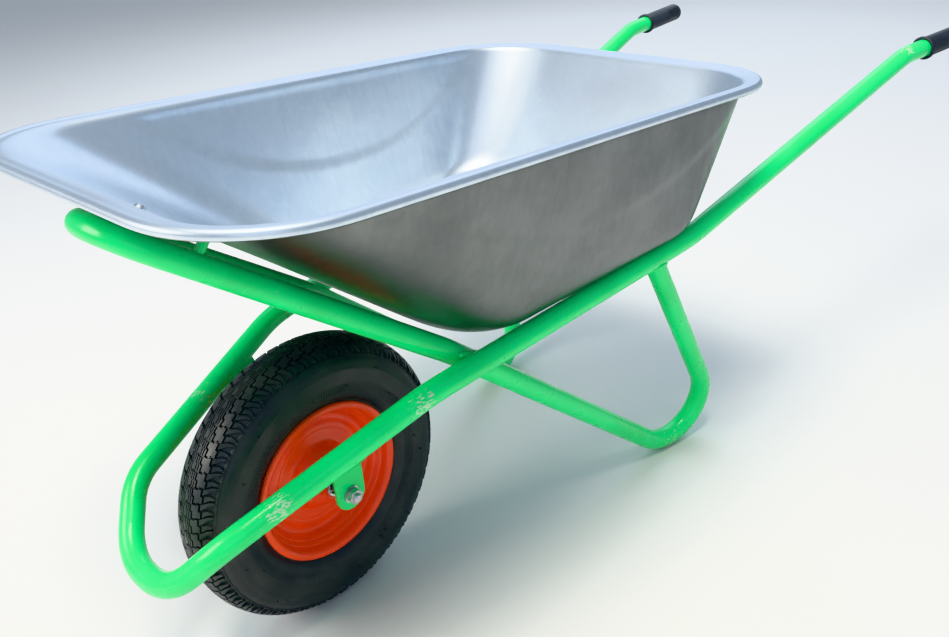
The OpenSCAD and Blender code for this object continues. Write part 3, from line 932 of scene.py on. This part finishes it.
@dataclass
class AxleEnds:
    """Axle with rolled threads at its ends, and its nuts with turned chamfers on their corners."""

    lead: float = 1.75
    thread: float = 0.55
    threaded: float = 22.0
    tip: float = 0.9
    bore: float = 6.1
    face: float = 0.96

    def nut(self, name: str) -> None:
        """Builds a nut.

        At angle a its radius is half the flats over cos(a mod 60 - 30 degrees), but no more than
        that of a cone of 30 degrees at either face.

        Args:
            name: CAD node that it stands for.
        """
        low, high = (np.array(corner) * 1000 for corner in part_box(name))
        middle, thick, flat = (low + high) / 2, high[1] - low[1], (high[2] - low[2]) / 2
        a = np.linspace(0, 2 * np.pi, 96, endpoint=False)[None, :]
        hexagon = flat / np.cos(a % (np.pi / 3) - np.pi / 6)
        depth = np.linspace(0, 1.4, 5)
        depth = np.concatenate([depth, thick - depth[::-1]])[:, None]
        cone = flat * self.face + math.sqrt(3) * np.minimum(depth, thick - depth)
        bore = np.full((1, 96), self.bore)
        r = np.vstack([bore, np.minimum(hexagon, cone), bore])
        y = np.vstack([depth[:1], depth, depth[-1:]]) + low[1] + 0 * a
        rows = np.stack([middle[0] + r * np.cos(a), y, middle[2] + r * np.sin(a)], -1)
        piece = surface(f"chamfered_{name}", rows, ring=True, sharp=28)
        place(piece, Body.FRAME, ZINC, name)

    def build(self) -> None:
        """Builds the nuts and the axle.

        The axle's radius dips by the thread's depth times 1 - |2 f - 1|, with f the fraction of
        y / lead + a / turn, near its ends, and is rounded off over the last millimetre.
        """
        self.nut("axle_nut_left")
        self.nut("axle_nut_right")
        low, high = (np.array(corner) * 1000 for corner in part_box("axle"))
        middle, half, full = (low + high) / 2, (high[1] - low[1]) / 2, (high[0] - low[0]) / 2
        s = np.linspace(half - self.threaded, half, 121)
        y = np.concatenate([-s[::-1], s])[:, None]
        a = np.linspace(0, 2 * np.pi, 40, endpoint=False)[None, :]
        dip = 1 - np.abs(2 * ((y / self.lead + a / (2 * np.pi)) % 1) - 1)
        near = smooth((np.abs(y) - half + self.threaded) / 2)
        r = full - self.thread * dip * near - self.tip * smooth(1 - half + np.abs(y))
        rows = np.stack([middle[0] + r * np.cos(a), middle[1] + y + 0 * a, middle[2] + r * np.sin(a)], -1)
        piece = surface("threaded_axle", rows, caps=True, sharp=50)
        place(piece, Body.FRAME, ZINC, "axle")


@dataclass
class Grips:
    """Rubber sleeves on the handles: a collar at the mouth, fine rings, long flutes and a round end."""

    end: Point = (-831.5, 325.5, 540.0)
    bend: Point = (-624.0, 304.0, 542.0)
    length: float = 148.0
    radius: float = 19.0
    collar: float = 21.5
    cap: float = 4.0
    ring: float = 0.45
    ring_pitch: float = 5.4
    flute: float = 0.35
    flutes: int = 12

    def profile(self) -> tuple[Array, Array]:
        """Works out a grip's outline: bore lip, collar, neck, ringed hold and dome.

        Returns:
            Distances from the mouth, and radii.
        """
        s = np.linspace(12, self.length - 9, 140)
        wave = 0.5 - 0.5 * np.cos(2 * np.pi * (s - 12) / self.ring_pitch)
        rings = self.ring * wave * smooth((s - 16) / 8) * smooth((132 - s) / 6)
        hold = self.radius - 0.1 - rings
        a = np.linspace(0, np.pi / 2, 12)[:-1]
        collar = self.collar
        mouth = [(9.0, 16.4), (0.4, 16.4), (0.0, 17.0), (0.0, collar - 0.9), (0.9, collar), (5.2, collar)]
        mouth += [(6.6, collar - 0.7), (8.2, 19.2), (10.0, 18.8)]
        dome = np.stack([self.length - 9 + 9 * np.sin(a), self.radius - 0.1 - 9 * (1 - np.cos(a))], -1)
        end = [(self.length - 0.02, 7.0), (self.length, 3.0)]
        whole = np.vstack([mouth, np.stack([s, hold], -1), dome[1:], end])
        return whole[:, 0], whole[:, 1]

    def build(self) -> None:
        """Builds both grips: the radius at (s, a) is the profile less shallow flutes round the hold."""
        s, radius = self.profile()
        hold = smooth((s - 16) / 8) * smooth((132 - s) / 6)
        a = np.linspace(0, 2 * np.pi, 96, endpoint=False)[None, :, None]
        flute = self.flute * np.maximum(np.cos(self.flutes * a[..., 0]), 0) * hold[:, None]
        r = (radius[:, None] - flute)[..., None]
        for side in Side:
            end, bend = np.array(self.end) * side.flip, np.array(self.bend) * side.flip
            back = unit(end - bend)
            mouth = end + back * (self.cap - self.length)
            across = unit(np.cross(back, [0, 0, 1.0]))
            up = np.cross(across, back)
            rows = mouth + s[:, None, None] * back + r * (across * np.cos(a) + up * np.sin(a))
            piece = surface(f"ribbed_grip_{side.hand}", rows, caps=True, sharp=60)
            place(piece, Body.FRAME, GRIP, f"grip_{side.hand}")


@dataclass
class Welds:
    """Weld beads, painted over with the frame: a rippled bead on each joint of the tubes."""

    tube: float = 16.0
    bead: float = 3.0
    rear_bend: Point = (-15.0, 235.0, 394.0)
    front_bend: Point = (487.0, 174.0, 352.0)
    loop_side: Point = (768.0, 105.0, 262.0)
    upright: Point = (67.0, 223.0, 386.0)
    foot: Point = (-227.0, 213.5, -206.0)
    crossing: Point = (424.0, 148.0, 374.0)
    nose: Point = (783.0, 56.0, 651.0)
    bend: float = 250.0
    axle: Pair = (565.0, 234.0)
    bracket: float = 76.0
    crossbar: float = 60.0

    def ripple(self, path: Array, radius: float, ends: bool) -> Array:
        """Finds the bead's radius along a path, in ripples 3.2 mm long, drawn in at open ends.

        Args:
            path: Points along the bead.
            radius: Its radius without ripples.
            ends: The bead has open ends.

        Returns:
            Radius at each point.
        """
        step = np.linalg.norm(np.diff(path, axis=0, prepend=path[:1]), axis=1)
        s = np.cumsum(step)
        r = radius * (1 + 0.1 * np.abs(np.sin(np.pi * s / 3.2)) + 0.05 * np.sin(s / 9))
        if ends:
            r = r * (0.35 + 0.65 * smooth(s / 4) * smooth((s[-1] - s) / 4))
        return r

    def saddle(self) -> Array:
        """Returns where the upright's tube meets the main tube.

        Each line down the upright's surface, start + t way, leaves the main tube where its
        distance from that tube's axis is the tube's radius, which is a quadratic in t.

        Returns:
            Points of the seam, as a closed loop.
        """
        top, foot = np.array(self.upright), np.array(self.foot)
        way = unit(foot - top)
        axis = unit(np.array(self.front_bend) - np.array(self.rear_bend))
        side = unit(np.cross(way, axis))
        fore = np.cross(side, way)
        a = np.linspace(0, 2 * np.pi, 110, endpoint=False)[:, None]
        start = top + (self.tube - 0.3) * (side * np.cos(a) + fore * np.sin(a)) - np.array(self.rear_bend)
        p = start - (start @ axis)[:, None] * axis
        q = way - (way @ axis) * axis
        aa, bb, cc = q @ q, p @ q, np.einsum("ij,ij->i", p, p) - self.tube**2
        t = (-bb + np.sqrt(np.maximum(bb * bb - aa * cc, 0))) / aa
        return start + t[:, None] * way + np.array(self.rear_bend)

    def lines(self) -> list[Array]:
        """Finds the straight beads of the left side.

        A bracket's and the crossbar's beads lie where the plate meets the tube. The crossing's
        lie beside the nearest points of the main tube's line and the leg tube's bend.

        Returns:
            Paths: both faces of the bracket, the crossbar's end, and both cusps of the crossing.
        """
        front, loop, rear = (np.array(p) for p in (self.front_bend, self.loop_side, self.rear_bend))
        arm = unit(loop - front)
        axle = front + arm * (self.axle[0] - front[0]) / arm[0]
        lean = unit(np.array([0.0, axle[1] - self.bracket, axle[2] - self.axle[1]]))
        face = np.array([0.0, lean[2], -lean[1]])
        t = np.linspace(-22, 22, 60)[:, None]
        found = [axle - lean * 16.2 + face * (2.0 + d) + arm * t for d in (-3.2, 3.6)]
        main = unit(front - rear)
        bar = rear + main * (self.crossbar - rear[0]) / main[0]
        found.append(bar + np.array([0.0, -11.0, 11.2]) + main * (t * 0.86))
        cross, nose, foot = (np.array(p) for p in (self.crossing, self.nose, self.foot))
        u, v = unit(cross - foot), unit(nose - cross)
        turn = math.acos(float(u @ v))
        middle = cross + unit(v - u) * self.bend / math.cos(turn / 2)
        x, y = unit(np.cross(np.cross(u, v), u)), u
        a = np.linspace(-0.1, turn + 0.1, 400)[:, None]
        bend = middle + self.bend * (np.sin(a) * y - np.cos(a) * x)
        near = bend - rear
        along = near @ main
        gap = near - along[:, None] * main
        k = int(np.linalg.norm(gap, axis=1).argmin())
        normal = unit(gap[k])
        touch = rear + along[k] * main + normal * np.linalg.norm(gap[k]) / 2
        way = unit(main + unit(bend[min(k + 1, 399)] - bend[k - 1]))
        cusp = unit(np.cross(normal, way))
        found += [touch + cusp * d + way * t * 0.8 for d in (-9.5, 9.5)]
        return found

    def build(self) -> None:
        """Builds every bead on the left and mirrors it to the right."""
        paths = [("upright", self.saddle(), True, self.bead)]
        names = ("bracket_inner", "bracket_outer", "crossbar_end", "crossing_low", "crossing_high")
        sizes = (2.6, 2.6, 2.4, 4.0, 4.0)
        paths += [(n, p, False, r) for n, p, r in zip(names, self.lines(), sizes)]
        for name, path, closed, radius in paths:
            for side in Side:
                line = path * side.flip
                rows = sweep(line, self.ripple(line, radius, not closed), 14, closed)
                piece = surface(f"weld_{name}_{side.hand}", rows, ring=closed, caps=not closed, sharp=70)
                place(piece, Body.FRAME, GREEN)


@dataclass
class Studio:
    """Floor, lights and camera."""

    eye: Point = (1162.3, 985.6, 1018.8)
    yaw: float = -2.3379
    pitch: float = 0.397
    roll: float = -0.0973
    focal: float = 974.0
    frame_width: int = 949
    shift: float = -0.10
    aim: Point = (0.1, 0.0, 0.35)

    def floor(self) -> None:
        """Lays a matt, pale floor half a millimetre under the object."""
        edge = np.array([-12000.0, 12000.0])
        rows = np.stack([*np.meshgrid(edge, edge), np.full((2, 2), -0.5)], -1)
        piece = surface("floor", rows, closed=False)
        made = bpy.data.materials.new("matt_painted_floor")
        made.use_nodes = True
        shader = made.node_tree.nodes["Principled BSDF"]
        shader.inputs["Base Color"].default_value = linear("#dcdcda")
        shader.inputs["Roughness"].default_value = 0.9
        piece.data.materials.append(made)

    def light(self, name: str, at: Point, size: float, power: float, colour: str) -> None:
        """Hangs a square soft light that points at the object's middle.

        Args:
            name: Name of the light.
            at: Its place in metres.
            size: Its side in metres.
            power: Its power in watts.
            colour: Its colour.
        """
        lamp = bpy.data.lights.new(name, "AREA")
        lamp.size, lamp.energy, lamp.color = size, power, linear(colour)[:3]
        hung = bpy.data.objects.new(name, lamp)
        hung.location = at
        hung.rotation_euler = (Vector(self.aim) - Vector(at)).to_track_quat("-Z", "Y").to_euler()
        bpy.context.scene.collection.objects.link(hung)

    def camera(self) -> None:
        """Sets the camera from its direction, tilt and focal length in frame widths."""
        d = Vector(
            (
                math.cos(self.pitch) * math.cos(self.yaw),
                math.cos(self.pitch) * math.sin(self.yaw),
                -math.sin(self.pitch),
            )
        )
        right = d.cross(Vector((0, 0, 1))).normalized()
        up = right.cross(d)
        c, s = math.cos(self.roll), math.sin(self.roll)
        right, up = c * right + s * up, c * up - s * right
        data = bpy.data.cameras.new("camera")
        data.sensor_width = 36.0
        data.lens = self.focal / self.frame_width * 36.0
        data.shift_y = self.shift
        data.clip_end = 100.0
        eye = bpy.data.objects.new("camera", data)
        turn = Matrix((right, up, -d)).transposed().to_4x4()
        eye.matrix_world = Matrix.Translation(Vector(self.eye) / 1000) @ turn
        bpy.context.scene.collection.objects.link(eye)
        bpy.context.scene.camera = eye

    def build(self) -> None:
        """Sets the whole studio."""
        self.camera()
        self.floor()
        self.light("key", (0.9, 0.4, 3.3), 1.3, 150.0, "#fff6ea")
        self.light("fill", (2.6, 2.6, 1.6), 2.4, 18.0, "#e8f0ff")
        self.light("rear", (-2.2, -1.8, 2.8), 3.2, 75.0, "#deebff")
        self.light("front", (2.5, -0.9, 1.5), 1.2, 42.0, "#fff8ee")
        world = bpy.data.worlds.new("studio")
        world.use_nodes = True
        back = world.node_tree.nodes["Background"]
        back.inputs["Color"].default_value = linear("#d6e5f7")
        back.inputs["Strength"].default_value = 0.6
        bpy.context.scene.world = world
        # This view keeps the enamel's green and orange as strong as their own colours
        bpy.context.scene.view_settings.view_transform = "Khronos PBR Neutral"


def main() -> None:
    """Builds the studio and the pieces in order, and dresses the CAD nodes."""
    logging.basicConfig(level=logging.INFO, format="%(name)s: %(message)s")
    low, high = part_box("axle")
    centre = np.array((low + high) / 2) * 1000
    Studio().build()
    Tray().build()
    Tyre().build(centre)
    Rim().build(centre)
    AxleEnds().build()
    Grips().build()
    Welds().build()
    dress(GREEN, "main_frame_tube", "leg_frame_tube", "rear_crossbar", "nose_bosses")
    dress(GREEN, "axle_bracket_left", "axle_bracket_right")
    dress(ORANGE, "hub_tube")
    dress(ZINC, "axle_washer_left", "axle_washer_right", "axle_spacer_left", "axle_spacer_right")
    dress(DULL_ZINC, "tray_bolts", "tray_washers", "tray_nuts")
    sides = ("left", "right")
    dress(BEARING, *(f"bearing_{part}_{side}" for part in ("inner", "balls", "outer") for side in sides))
    dress(TUBE, "inner_tube", "valve_stem")
    dress(CAP, "valve_cap")
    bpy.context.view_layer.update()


if __name__ == "__main__":
    main()
